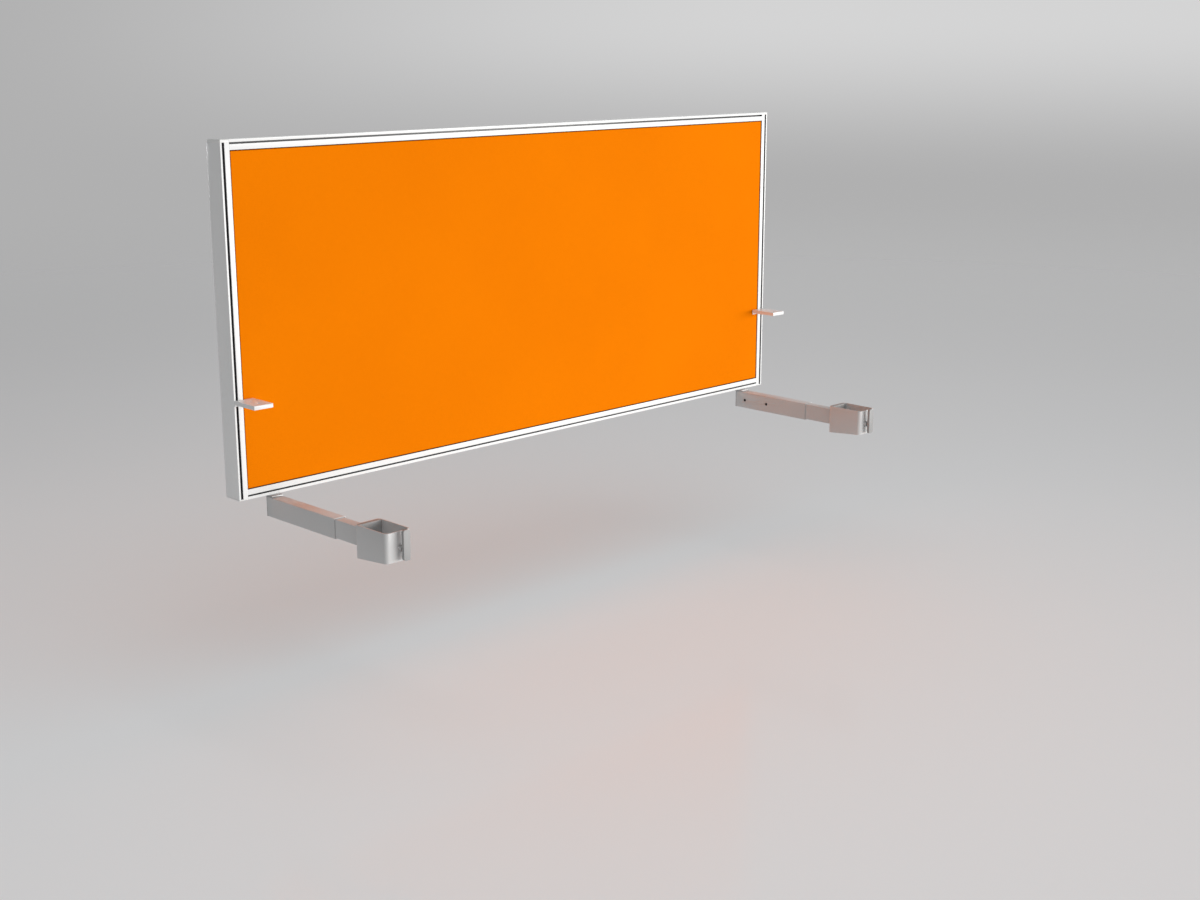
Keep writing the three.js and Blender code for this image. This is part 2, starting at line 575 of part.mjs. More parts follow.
for (const [name, side] of SIDES) {
  const group = assembly();
  const x = armX(side);
  const toCentre = -side;
  const innerFace = x + toCentre * TUBE_WIDTH / 2;
  const leverX = x + toCentre * LEVER_OFFSET;
  const out = [toCentre, 0, 0];
  piece(group, `${name}_saddle_bracket`, saddleBracket(x, innerFace, toCentre), castAlloy());
  railScrewsY.forEach((y, i) => {
    piece(group, `${name}_saddle_screw_${i + 1}`,
      buttonScrew(M5, [x, y, TUBE_TOP], [0, 0, -1], SADDLE_PLATE + WEB + RAIL_SCREW_SPARE), zinc());
  });
  piece(group, `${name}_outer_tube`, outerTube(x, innerFace, toCentre), greyPowder());
  piece(group, `${name}_tongue_screw`,
    buttonScrew(M4, [innerFace, -BLOCK_SCREW_BACK, TUBE_MIDDLE], out, TONGUE_SCREW), blackSteel());
  piece(group, `${name}_lock_screw`,
    buttonScrew(M4, [innerFace, -LOCK_SCREW_BACK, TUBE_MIDDLE], out,
      2 * TUBE_WALL + INNER_GAP + GLIDE_GAP + LOCK_NUT_THICK + 1), blackSteel());
  piece(group, `${name}_lock_nut`, lockNut(x, toCentre), zinc());
  piece(group, `${name}_inner_tube`, innerTube(x, toCentre), greyPowder());
  piece(group, `${name}_glide_plug`, glidePlug(x), blackPlastic());
  piece(group, `${name}_leg_collar`, legCollar(x, leverX), greyPowder());
  piece(group, `${name}_rear_packer`, rearPacker(x), greyPlastic());
  piece(group, `${name}_pressure_pad`, pressurePad(x), blackPlastic());
  piece(group, `${name}_weld_nut`, weldNut(leverX), greyPowder());
  piece(group, `${name}_clamp_stud`, clampStud(leverX), zinc());
  piece(group, `${name}_clamp_lever`, clampLever(leverX), greyPlastic());
}

export default panel;
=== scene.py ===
import math

import bmesh
import bpy
import numpy as np
from mathutils import Matrix, Vector


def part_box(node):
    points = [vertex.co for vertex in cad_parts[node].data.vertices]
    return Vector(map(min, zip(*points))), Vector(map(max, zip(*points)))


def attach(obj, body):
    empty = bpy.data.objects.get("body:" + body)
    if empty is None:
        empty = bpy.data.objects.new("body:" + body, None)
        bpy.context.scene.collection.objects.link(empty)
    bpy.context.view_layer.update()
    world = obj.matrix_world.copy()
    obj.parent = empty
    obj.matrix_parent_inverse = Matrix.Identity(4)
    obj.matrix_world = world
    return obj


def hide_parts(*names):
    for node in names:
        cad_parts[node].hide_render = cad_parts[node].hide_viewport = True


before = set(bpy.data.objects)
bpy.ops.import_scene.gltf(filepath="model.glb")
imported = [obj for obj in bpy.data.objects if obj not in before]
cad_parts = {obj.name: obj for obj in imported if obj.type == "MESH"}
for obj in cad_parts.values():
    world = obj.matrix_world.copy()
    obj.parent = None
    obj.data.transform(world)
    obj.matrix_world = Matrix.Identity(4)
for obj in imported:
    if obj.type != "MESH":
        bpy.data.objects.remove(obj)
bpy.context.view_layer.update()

# ------------------------------------------------------------------ studio
# A pale glossy floor at the height the desk stands on fades into an even grey surround. A large soft
# light stands low at the front right, a smaller one behind, and one over the floor.

MM = 0.001

scene = bpy.context.scene
scene.view_settings.view_transform = "Standard"
scene.view_settings.look = "None"

CAMERA_PLACE = Vector((-2838.4, -3077.6, 772.5)) * MM
CAMERA_HEADING = math.radians(-44.89)
CAMERA_TILT = math.radians(76.02)
CAMERA_ROLL = math.radians(-0.06)
CAMERA_LENS = 49.88
CAMERA_SENSOR = 36.0
CAMERA_FAR = 200.0

camera = bpy.data.objects.new("camera", bpy.data.cameras.new("camera"))
scene.collection.objects.link(camera)
camera.data.sensor_width = CAMERA_SENSOR
camera.data.lens = CAMERA_LENS
camera.data.clip_end = CAMERA_FAR
camera.matrix_world = (
    Matrix.Translation(CAMERA_PLACE)
    @ Matrix.Rotation(CAMERA_HEADING, 4, "Z")
    @ Matrix.Rotation(CAMERA_TILT, 4, "X")
    @ Matrix.Rotation(CAMERA_ROLL, 4, "Z")
)
scene.camera = camera

PANEL_HEART = (0.0, 0.0, 0.1)
KEY_PLACE = (3.2, -7.5, 0.4)
KEY_SIZE = (9.0, 2.0)
KEY_POWER = 600.0
KEY_COLOUR = (1.0, 0.99, 0.975)
REAR_PLACE = (1.4, 7.2, 0.6)
REAR_AIM = (1.4, 0.0, 0.1)
REAR_SIZE = (1.8, 1.6)
REAR_POWER = 290.0
REAR_COLOUR = (0.98, 0.99, 1.0)
POOL_PLACE = (-0.5, -1.6, 3.0)
POOL_AIM = (-0.5, -1.6, 0.0)
POOL_SIZE = (4.0, 4.0)
POOL_POWER = 46.0
POOL_COLOUR = (1.0, 1.0, 1.0)


def softbox(name, place, aim, size, power, colour):
    """A rectangular lamp that faces a point."""
    light = bpy.data.lights.new(name, "AREA")
    light.shape = "RECTANGLE"
    light.size, light.size_y = size
    light.energy = power
    light.color = colour
    lamp = bpy.data.objects.new(name, light)
    scene.collection.objects.link(lamp)
    lamp.location = place
    lamp.rotation_euler = (Vector(aim) - Vector(place)).to_track_quat("-Z", "Y").to_euler()
    return lamp


key = softbox("key", KEY_PLACE, PANEL_HEART, KEY_SIZE, KEY_POWER, KEY_COLOUR)
rear = softbox("rear", REAR_PLACE, REAR_AIM, REAR_SIZE, REAR_POWER, REAR_COLOUR)
pool = softbox("pool", POOL_PLACE, POOL_AIM, POOL_SIZE, POOL_POWER, POOL_COLOUR)


class Value:
    """A shader or geometry socket that takes part in ordinary arithmetic."""

    def __init__(self, socket):
        self.socket = socket

    @staticmethod
    def node(tree, kind, settings=None, inputs=None, out=0):
        """A new node of any kind: its settings first, then a value or links for each input."""
        made = tree.nodes.new(kind)
        for name, setting in (settings or {}).items():
            setattr(made, name, setting)
        for name, given in (inputs or {}).items():
            for one in given if isinstance(given, list) else [given]:
                if isinstance(one, Value):
                    tree.links.new(one.socket, made.inputs[name])
                else:
                    made.inputs[name].default_value = one
        return Value(made.outputs[out])

    def math(self, operation, first, second=0.0, third=0.0):
        return Value.node(self.socket.id_data, "ShaderNodeMath", {"operation": operation},
                          {0: first, 1: second, 2: third})

    def __add__(self, other):
        return self.math("ADD", self, other)

    def __sub__(self, other):
        return self.math("SUBTRACT", self, other)

    def __rsub__(self, other):
        return self.math("SUBTRACT", other, self)

    def __mul__(self, other):
        return self.math("MULTIPLY", self, other)

    def __truediv__(self, other):
        return self.math("DIVIDE", self, other)

    __radd__ = __add__
    __rmul__ = __mul__

    def step(self, low, high):
        """0 below low, 1 above high, and a smooth rise between them."""
        return Value.node(self.socket.id_data, "ShaderNodeMapRange", {"interpolation_type": "SMOOTHSTEP"},
                          {"Value": self, "From Min": low, "From Max": high})

    def axis(self, name):
        """One component of a vector."""
        return Value.node(self.socket.id_data, "ShaderNodeSeparateXYZ", None, {"Vector": self}, name)


SURROUND = (0.435, 0.434, 0.436)
SURROUND_GLOW = (0.66, 0.66, 0.662)
SURROUND_DIM = (0.20, 0.20, 0.202)
OVERHEAD = (0.50, 0.50, 0.505)
GLOW_SIDE = (0.38, 0.80)  # how far to the right the surround's glow begins and is full
GLOW_RISE = (-0.085, 0.01)
DIM_SIDE = (0.2, 0.8)  # the same to the left, for its dim side
OVERHEAD_RISE = (0.1, 0.6)

world = bpy.data.worlds.new("surround")
scene.world = world
world.use_nodes = True
sky = world.node_tree
heading = Value.node(sky, "ShaderNodeTexCoord", out="Generated")
to_right, to_top = heading.axis("X"), heading.axis("Z")


def blend_colours(tree, factor, first, second):
    """One colour turning into another, by a factor."""
    given = [one if isinstance(one, Value) else (*one, 1.0) for one in (first, second)]
    colour_inputs = {6: given[0], 7: given[1]}
    return Value.node(tree, "ShaderNodeMix", {"data_type": "RGBA"}, {"Factor": factor, **colour_inputs}, 2)


glow = to_right.step(*GLOW_SIDE) * to_top.step(*GLOW_RISE)
tone = blend_colours(sky, glow, SURROUND, SURROUND_GLOW)
tone = blend_colours(sky, (to_right * -1.0).step(*DIM_SIDE), tone, SURROUND_DIM)
tone = blend_colours(sky, to_top.step(*OVERHEAD_RISE), tone, OVERHEAD)
sky.links.new(tone.socket, sky.nodes["Background"].inputs["Color"])


def new_finish(name):
    """An empty material, with the place on the object that its patterns are laid out by."""
    material = bpy.data.materials.new(name)
    material.use_nodes = True
    tree = material.node_tree
    place = Value.node(tree, "ShaderNodeTexCoord", out="Object")
    return material, tree, tree.nodes["Principled BSDF"], place


def feed(tree, socket, value):
    """Joins a value to a socket of the shader."""
    tree.links.new(value.socket, socket)


def noise(tree, place, scale, detail=2.0, roughness=0.5, stretch=None):
    """Cloudy noise, finer as the scale grows, and drawn out along an axis by a stretch."""
    if stretch:
        place = Value.node(tree, "ShaderNodeMapping", None, {"Vector": place, "Scale": stretch})
    return Value.node(tree, "ShaderNodeTexNoise", None,
                      {"Vector": place, "Scale": scale, "Detail": detail, "Roughness": roughness}, "Fac")


def bump(tree, height, depth):
    """A surface that rises by a depth in metres where the height is 1."""
    return Value.node(tree, "ShaderNodeBump", None, {"Height": height, "Distance": depth, "Strength": 1.0})


FLOOR_DROP = 687.4 * MM
FLOOR_RADIUS = 40.0
FLOOR_SIDES = 96
# The floor is painted lighter near the middle and darker further off: a painted pool of light.
FLOOR_NEAR = (0.86, 0.862, 0.865)
FLOOR_FAR = (0.80, 0.802, 0.805)
FLOOR_TURN = (1.0, 6.0)  # metres from the middle over which its colour darkens, a painted falloff of light
FLOOR_FADE = (1.8, 12.0)  # and over which it fades into the surround
FLOOR_ROUGHNESS = 0.14
FLOOR_GLOSS = 0.07

material, tree, shader, place = new_finish("studio_floor")
reach = Value.node(tree, "ShaderNodeVectorMath", {"operation": "LENGTH"}, {0: place}, "Value")
feed(tree, shader.inputs["Base Color"], blend_colours(tree, reach.step(*FLOOR_TURN), FLOOR_NEAR, FLOOR_FAR))
shader.inputs["Roughness"].default_value = FLOOR_ROUGHNESS
shader.inputs["Specular IOR Level"].default_value = FLOOR_GLOSS
feed(tree, shader.inputs["Alpha"], 1.0 - reach.step(*FLOOR_FADE))
floor_mesh = bpy.data.meshes.new("floor")
shape = bmesh.new()
bmesh.ops.create_circle(shape, cap_ends=True, segments=FLOOR_SIDES, radius=FLOOR_RADIUS)
shape.to_mesh(floor_mesh)
shape.free()
floor = bpy.data.objects.new("floor", floor_mesh)
floor.location = (0.0, 0.0, -FLOOR_DROP)
scene.collection.objects.link(floor)
floor.data.materials.append(material)

# The key and rear lamps light the object alone, and the pool lamp overhead lights the floor alone.
only_floor = bpy.data.collections.new("only_floor")
only_floor.objects.link(floor)
all_but_floor = bpy.data.collections.new("all_but_floor")
all_but_floor.objects.link(floor)
all_but_floor.collection_objects[0].light_linking.link_state = "EXCLUDE"
pool.light_linking.receiver_collection = only_floor
for lamp in (key, rear):
    lamp.light_linking.receiver_collection = all_but_floor

# ------------------------------------------------------------------ frame extrusions and their caps
# Two uprights and two rails of extruded aluminium, powder coated white after cutting, butted at the
# corners on hidden keys. The uprights' ends are closed by moulded caps.

WHITE = (0.88, 0.885, 0.88)
WHITE_SHADE = (0.83, 0.838, 0.835)
WHITE_ROUGHNESS = 0.36
CLOUD_SCALE = 2.2  # the scales count features to the metre
SPECK_SCALE = 900.0
SCUFF_SCALE = 26.0
SCUFFED = (0.62, 0.74)
PEEL_SCALE = 520.0
WAVE_SCALE = 90.0
PEEL = 0.035 * MM
UPRIGHT_GRAIN = (1.0, 1.0, 0.35)
COAT_GLOSS = 0.45
CLEAR_SKIN = 0.15
CLEAR_SKIN_ROUGHNESS = 0.25
EXTRUSION_EDGE = 0.5 * MM
CAP_EDGE = 0.7 * MM
CREASE = math.radians(32.0)
WELD_WITHIN = 0.01 * MM


def powder_coat(name, colour, shade, roughness, slot_shade_mask=None):
    """Satin powder coat: a faint orange peel, slight changes of gloss, and handling scuffs.

    The last argument takes the place, and says where the slots and recesses are painted dark as shade.
    """
    material, tree, shader, place = new_finish(name)
    cloud = noise(tree, place, CLOUD_SCALE, 3.0)
    speck = noise(tree, place, SPECK_SCALE, 2.0)
    coat = blend_colours(tree, (cloud * 0.7 + speck * 0.3).step(0.3, 0.7), shade, colour)
    if slot_shade_mask:
        coat = blend_colours(tree, slot_shade_mask(place), coat, SLOT_SHADE_COLOUR)
    feed(tree, shader.inputs["Base Color"], coat)
    scuffs = noise(tree, place, SCUFF_SCALE, 5.0, 0.65, UPRIGHT_GRAIN).step(*SCUFFED)
    feed(tree, shader.inputs["Roughness"], cloud * 0.08 + scuffs * 0.10 + (roughness - 0.04))
    orange_peel = noise(tree, place, PEEL_SCALE, 2.0, 0.45)
    long_wave = noise(tree, place, WAVE_SCALE, 1.0)
    feed(tree, shader.inputs["Normal"], bump(tree, orange_peel * 0.75 + long_wave * 0.25, PEEL))
    shader.inputs["Specular IOR Level"].default_value = COAT_GLOSS
    shader.inputs["Coat Weight"].default_value = CLEAR_SKIN
    shader.inputs["Coat Roughness"].default_value = CLEAR_SKIN_ROUGHNESS
    return material


def dress(name, finish, radius, segments=2):
    """Gives a carried-over piece its finish, with its edges rounded to a radius."""
    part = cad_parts[name]
    part.data.materials.clear()
    part.data.materials.append(finish)
    part.data.polygons.foreach_set("use_smooth", [True] * len(part.data.polygons))
    weld = part.modifiers.new("weld", "WELD")
    weld.merge_threshold = WELD_WITHIN
    rounding = part.modifiers.new("rounding", "BEVEL")
    rounding.width = radius
    rounding.segments = segments
    rounding.limit_method = "ANGLE"
    rounding.angle_limit = CREASE
    rounding.use_clamp_overlap = True
    rounding.harden_normals = True


# Painted shade: the slots and the faces behind the extrusions' fronts are painted near black, for the shade
# inside them.
SLOT_SHADE_COLOUR = (0.075, 0.075, 0.078)
SLOT_SHADE_REACH = (0.6 * MM, 2.2 * MM)  # the painted slot shade rises between these depths

frame_low, frame_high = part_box("left_upright")
frame_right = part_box("right_upright")[1].x
frame_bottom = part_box("bottom_rail")[0].z
frame_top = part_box("top_rail")[1].z


def behind_the_face(place, start, full):
    """How far a point lies behind the nearer face of the frame: 0 up to start, and 1 from full on."""
    middle = (frame_low.y + frame_high.y) / 2
    offset = place.axis("Y") - middle
    depth = (frame_high.y - middle) - offset.math("ABSOLUTE", offset)
    return depth.step(start, full)


def painted_slot_shade(place):
    """Where shade is painted dark: in the slots and behind the faces of the extrusions."""
    x, z = place.axis("X"), place.axis("Z")
    from_end = frame_right - x.math("ABSOLUTE", x)
    from_rim = from_end.math("MINIMUM", frame_top - z, z - frame_bottom)
    from_rim = from_rim.math("MINIMUM", from_end, from_rim)
    return behind_the_face(place, *SLOT_SHADE_REACH) * from_rim.step(*SLOT_SHADE_REACH)


white_coat = powder_coat("white_powder_coat", WHITE, WHITE_SHADE, WHITE_ROUGHNESS)
frame_coat = powder_coat("white_frame_coat", WHITE, WHITE_SHADE, WHITE_ROUGHNESS, painted_slot_shade)
for name in ("left_upright", "right_upright", "top_rail", "bottom_rail"):
    dress(name, frame_coat, EXTRUSION_EDGE)

CAP_WHITE = (0.85, 0.852, 0.84)
CAP_SHADE = (0.80, 0.803, 0.79)
CAP_ROUGHNESS = 0.45
CAP_GRAIN = (1400.0, 0.02 * MM)  # a moulded grain's scale and depth
TONE_SCALE = 14.0


def moulded(name, colour, shade, roughness, grain_scale, grain_depth):
    """Moulded plastic with a fine spark-eroded grain."""
    material, tree, shader, place = new_finish(name)
    grain = noise(tree, place, grain_scale, 3.0, 0.6)
    cloud = noise(tree, place, TONE_SCALE, 2.0)
    tone = (cloud * 0.6 + grain * 0.4).step(0.3, 0.7)
    feed(tree, shader.inputs["Base Color"], blend_colours(tree, tone, shade, colour))
    feed(tree, shader.inputs["Roughness"], grain * 0.12 + (roughness - 0.06))
    feed(tree, shader.inputs["Normal"], bump(tree, grain, grain_depth))
    return material


cap_plastic = moulded("white_cap_plastic", CAP_WHITE, CAP_SHADE, CAP_ROUGHNESS, *CAP_GRAIN)
for side in ("left", "right"):
    for end in ("top", "bottom"):
        dress(f"{side}_{end}_cap", cap_plastic, CAP_EDGE, segments=3)

# ------------------------------------------------------------------ inside the frame
# Cast corner keys lie in the grooves, and a honeycomb core board and two soft pin boards fill the
# frame, held together by black hook-and-loop strips.

CAST = (0.50, 0.505, 0.51)
CAST_SHADE = (0.40, 0.405, 0.41)
CAST_METALLIC = 0.85
CAST_ROUGHNESS = 0.36
CAST_GRAIN = (700.0, 0.05 * MM)
CAST_SKIN_SCALE = 60.0
CAST_EDGE = 0.6 * MM
BOARD = (0.52, 0.40, 0.24)
BOARD_SHADE = (0.36, 0.26, 0.14)
BOARD_ROUGHNESS = 0.82
FIBRE = (420.0, 0.2 * MM)
FLECK_SCALE = 130.0
BOARD_EDGE = 0.5 * MM
NYLON = (0.018, 0.018, 0.019)
NYLON_SHADE = (0.012, 0.012, 0.012)
NYLON_ROUGHNESS = 0.55
NYLON_GRAIN = (1800.0, 0.03 * MM)
STRIP_EDGE = 0.3 * MM


def cast_metal():
    """Aluminium as it leaves the die: a soft sand-like grain and patches of duller skin."""
    material, tree, shader, place = new_finish("cast_alloy")
    grain = noise(tree, place, CAST_GRAIN[0], 4.0, 0.6)
    skin = noise(tree, place, CAST_SKIN_SCALE, 3.0)
    feed(tree, shader.inputs["Base Color"], blend_colours(tree, skin.step(0.35, 0.65), CAST_SHADE, CAST))
    shader.inputs["Metallic"].default_value = CAST_METALLIC
    feed(tree, shader.inputs["Roughness"], skin * 0.15 + grain * 0.1 + CAST_ROUGHNESS)
    feed(tree, shader.inputs["Normal"], bump(tree, grain, CAST_GRAIN[1]))
    return material


def board_finish():
    """Unfinished soft board: matted fibres, pale brown."""
    material, tree, shader, place = new_finish("soft_board")
    fibres = noise(tree, place, FIBRE[0], 6.0, 0.7, UPRIGHT_GRAIN)
    flecks = noise(tree, place, FLECK_SCALE, 4.0, 0.6)
    tone = (fibres * 0.6 + flecks * 0.4).step(0.35, 0.65)
    feed(tree, shader.inputs["Base Color"], blend_colours(tree, tone, BOARD_SHADE, BOARD))
    feed(tree, shader.inputs["Roughness"], fibres * 0.1 + BOARD_ROUGHNESS)
    feed(tree, shader.inputs["Normal"], bump(tree, fibres, FIBRE[1]))
    return material


cast_alloy = cast_metal()
soft_board = board_finish()
black_nylon = moulded("black_nylon", NYLON, NYLON_SHADE, NYLON_ROUGHNESS, *NYLON_GRAIN)
for side in ("left", "right"):
    for end in ("top", "bottom"):
        dress(f"{side}_{end}_corner_key", cast_alloy, CAST_EDGE)
for name in ("core_board", "front_pin_board", "rear_pin_board"):
    dress(name, soft_board, BOARD_EDGE)
for face in ("front", "rear"):
    for level in ("upper", "lower"):
        dress(f"{face}_{level}_grip_strip", black_nylon, STRIP_EDGE)

# ------------------------------------------------------------------ fabric covers
# A plain woven screen fabric, dyed orange in the yarn, is stretched over each pin board, rolled over
# its edges and turned back behind it. The cloth lies almost flat and rounds off at the edges.

CLOTH_THICK = 0.9 * MM
EDGE_ROLL = 4.0 * MM
CLOTH_STEP = 11.0 * MM
ROLL_STEPS = 6
SIDE_ROWS = 5  # rows of points down the board's edge
EDGE_SINK = 0.35 * MM
EDGE_SINK_REACH = 16.0 * MM
RIPPLE = 0.10 * MM
RIPPLE_WAVES = ((9.1, 3.7, 0.0), (4.3, -11.9, 1.3))  # radians to the metre along X and Z, and a start
RIPPLE_REACH = 4 * EDGE_SINK_REACH
MERGE_WITHIN = 0.005 * MM
YARN = 1.15 * MM
YARN_DRIFT = 0.7 * YARN
DRIFT_SCALE = 60.0
SLUB_SCALES = (900.0, 60.0)  # across a yarn and along it
FADE_SCALE = 3.0
FUZZ_SCALE = 2600.0
WEAVE_RELIEF = 0.16 * MM
CLOTH_LIGHT = (0.92, 0.226, 0.0)
CLOTH_DARK = (0.70, 0.150, 0.0)
# Painted shade: the cloth turns dark brown where it rolls back into the gap by the frame, between these
# depths.
CLOTH_GAP_SHADE = (0.16, 0.028, 0.0)
EDGE_SHADE = (1.25 * MM, 2.6 * MM)
CLOTH_ROUGHNESS = 0.82
CLOTH_GLOSS = 0.02
SHEEN = 0.06
SHEEN_ROUGHNESS = 0.5
SHEEN_TINT = (1.0, 0.45, 0.02, 1.0)


def screen_cloth():
    """Plain weave on the cloth's own coordinates: warp and weft pass over each other in turn."""
    material, tree, shader, place = new_finish("orange_screen_cloth")
    cloth = Value.node(tree, "ShaderNodeUVMap", {"uv_map": "cloth"})
    drift = noise(tree, place, DRIFT_SCALE, 2.0) * YARN_DRIFT
    warp, weft = [(cloth.axis(name) + drift) / YARN for name in "XY"]
    cell = [yarn.math("FLOOR", yarn) for yarn in (warp, weft)]
    across = [yarn.math("FRACT", yarn) - 0.5 for yarn in (warp, weft)]
    hump = [offset.math("COSINE", offset * math.pi) for offset in across]
    total = cell[0] + cell[1]
    over = total.math("PINGPONG", total, 1.0)
    warp_height = hump[0] * (hump[1] * 0.45 + 0.55)
    weft_height = hump[1] * (hump[0] * 0.45 + 0.55)
    height = over * warp_height + (1.0 - over) * weft_height
    fine, coarse = SLUB_SCALES
    warp_slub = noise(tree, cloth, 1.0, 3.0, 0.6, (fine, coarse, 1.0))
    weft_slub = noise(tree, cloth, 1.0, 3.0, 0.6, (coarse, fine, 1.0))
    slub = warp_slub * over + weft_slub * (1.0 - over)
    fade = noise(tree, cloth, FADE_SCALE, 3.0)
    fuzz = noise(tree, place, FUZZ_SCALE, 3.0, 0.7)
    # The weave's valleys are painted darker as shade between the yarns; the slubs and the slow fade are the
    # yarn's own tone.
    tone = height * 0.45 + slub * 0.35 + fade * 0.2
    dyed = blend_colours(tree, tone.step(0.1, 0.85), CLOTH_DARK, CLOTH_LIGHT)
    # Painted shade for the shadow gap where the cloth rolls back beside the frame.
    edge = behind_the_face(place, *EDGE_SHADE)
    feed(tree, shader.inputs["Base Color"], blend_colours(tree, edge, dyed, CLOTH_GAP_SHADE))
    feed(tree, shader.inputs["Roughness"], fuzz * 0.1 + CLOTH_ROUGHNESS)
    relief = height * 0.8 + fuzz * 0.12 + slub * 0.15
    feed(tree, shader.inputs["Normal"], bump(tree, relief, WEAVE_RELIEF))
    shader.inputs["Specular IOR Level"].default_value = CLOTH_GLOSS
    shader.inputs["Sheen Weight"].default_value = SHEEN
    shader.inputs["Sheen Roughness"].default_value = SHEEN_ROUGHNESS
    shader.inputs["Sheen Tint"].default_value = SHEEN_TINT
    return material


def stations(low, high, depth):
    """Points across a wrapped board: distance on the cloth, place, and how far back they lie."""
    count = max(4, round((high - low - 2 * EDGE_ROLL) / CLOTH_STEP))
    points = [(place, place, 0.0) for place in np.linspace(low + EDGE_ROLL, high - EDGE_ROLL, count + 1)]
    rim = []
    for i in range(ROLL_STEPS):
        angle = (i + 1) / ROLL_STEPS * math.pi / 2
        rim.append((EDGE_ROLL * angle, EDGE_ROLL * math.sin(angle), EDGE_ROLL * (1 - math.cos(angle))))
    arc = EDGE_ROLL * math.pi / 2
    for back in np.linspace(EDGE_ROLL, depth, SIDE_ROWS)[1:]:
        rim.append((arc + back - EDGE_ROLL, EDGE_ROLL, back))
    before = [(low + EDGE_ROLL - run, low + EDGE_ROLL - out, back) for run, out, back in reversed(rim)]
    after = [(high - EDGE_ROLL + run, high - EDGE_ROLL + out, back) for run, out, back in rim]
    return before + points + after


def sag(x, z, edge):
    """How far the flat of the cloth lies back: a sink near its edges, and a slow ripple away from them."""
    sink = EDGE_SINK * max(0.0, 1 - (edge - EDGE_ROLL) / EDGE_SINK_REACH) ** 2
    count = len(RIPPLE_WAVES)
    wave = sum(math.sin(x * by_x + z * by_z + start) for by_x, by_z, start in RIPPLE_WAVES) + count
    return sink + RIPPLE * wave / (2 * count) * min(1.0, edge / RIPPLE_REACH)


def stretch_cover(name, board_cover, facing):
    """One cover in the box of the plain one; facing is -1 for the front and 1 for the rear."""
    low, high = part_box(board_cover)
    face = low.y if facing < 0 else high.y
    depth = high.y - low.y
    across = stations(low.x, high.x, depth)
    up = stations(low.z, high.z, depth)
    shape = bmesh.new()
    uv = shape.loops.layers.uv.new("cloth")
    grid = []
    for run_x, x, back_x in across:
        column = []
        for run_z, z, back_z in up:
            back = max(back_x, back_z)
            edge = min(x - low.x, high.x - x, z - low.z, high.z - z)
            back = sag(x, z, edge) if back == 0.0 else max(back, EDGE_SINK)
            column.append((shape.verts.new((x, face - facing * back, z)), (run_x, run_z)))
        grid.append(column)
    for i in range(len(grid) - 1):
        for j in range(len(grid[i]) - 1):
            corners = [grid[i][j], grid[i + 1][j], grid[i + 1][j + 1], grid[i][j + 1]]
            if facing > 0:
                corners.reverse()
            quad = shape.faces.new([corner[0] for corner in corners])
            quad.smooth = True
            for loop, corner in zip(quad.loops, corners):
                loop[uv].uv = corner[1]
    bmesh.ops.remove_doubles(shape, verts=shape.verts, dist=MERGE_WITHIN)
    bmesh.ops.dissolve_degenerate(shape, edges=shape.edges, dist=MERGE_WITHIN)
    mesh = bpy.data.meshes.new(name)
    shape.to_mesh(mesh)
    shape.free()
    cover = bpy.data.objects.new(name, mesh)
    scene.collection.objects.link(cover)
    skin = cover.modifiers.new("thickness", "SOLIDIFY")
    skin.thickness = CLOTH_THICK
    skin.offset = -1.0
    cover.data.materials.append(orange_cloth)
    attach(cover, "panel")
    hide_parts(board_cover)


orange_cloth = screen_cloth()
stretch_cover("front_cover", "front_fabric", -1)
stretch_cover("rear_cover", "rear_fabric", 1)

# ------------------------------------------------------------------ desk brackets
# Pressed steel trays, powder coated white. Each is bolted to a nut in its upright's slot and takes
# wood screws up into the desk top.

FLAKE = (1500.0, 0.01 * MM)
PATCH_SCALE = 120.0
ZINC = (0.62, 0.64, 0.66)
ZINC_SHADE = (0.48, 0.50, 0.52)
ZINC_ROUGHNESS = 0.34
OXIDE = (0.035, 0.035, 0.038)
OXIDE_SHADE = (0.02, 0.02, 0.022)
OXIDE_ROUGHNESS = 0.42
BRACKET_EDGE = 0.7 * MM
NUT_EDGE = 0.4 * MM


def plated(name, colour, shade, roughness):
    """Plated or blackened steel, with a fine crystalline flake in larger patches."""
    material, tree, shader, place = new_finish(name)
    flake = noise(tree, place, FLAKE[0], 3.0, 0.7)
    patch = noise(tree, place, PATCH_SCALE, 3.0)
    tone = (flake * 0.5 + patch * 0.5).step(0.3, 0.7)
    feed(tree, shader.inputs["Base Color"], blend_colours(tree, tone, shade, colour))
    shader.inputs["Metallic"].default_value = 1.0
    feed(tree, shader.inputs["Roughness"], flake * 0.14 + patch * 0.1 + (roughness - 0.12))
    feed(tree, shader.inputs["Normal"], bump(tree, flake, FLAKE[1]))
    return material


BOLT = (9.5 * MM, 2.75 * MM, 3.5 * MM, 5.0 * MM)  # head, rise, socket and shank
SCREW_CORNER = math.radians(35)
HEAD_SIDES = 32
HEAD_RINGS = 16
SHANK_SIDES = 16
SOCKET_SIDES = 6
SOCKET_PLACE = 1.35  # the socket cutter's middle, as a share of the head's rise


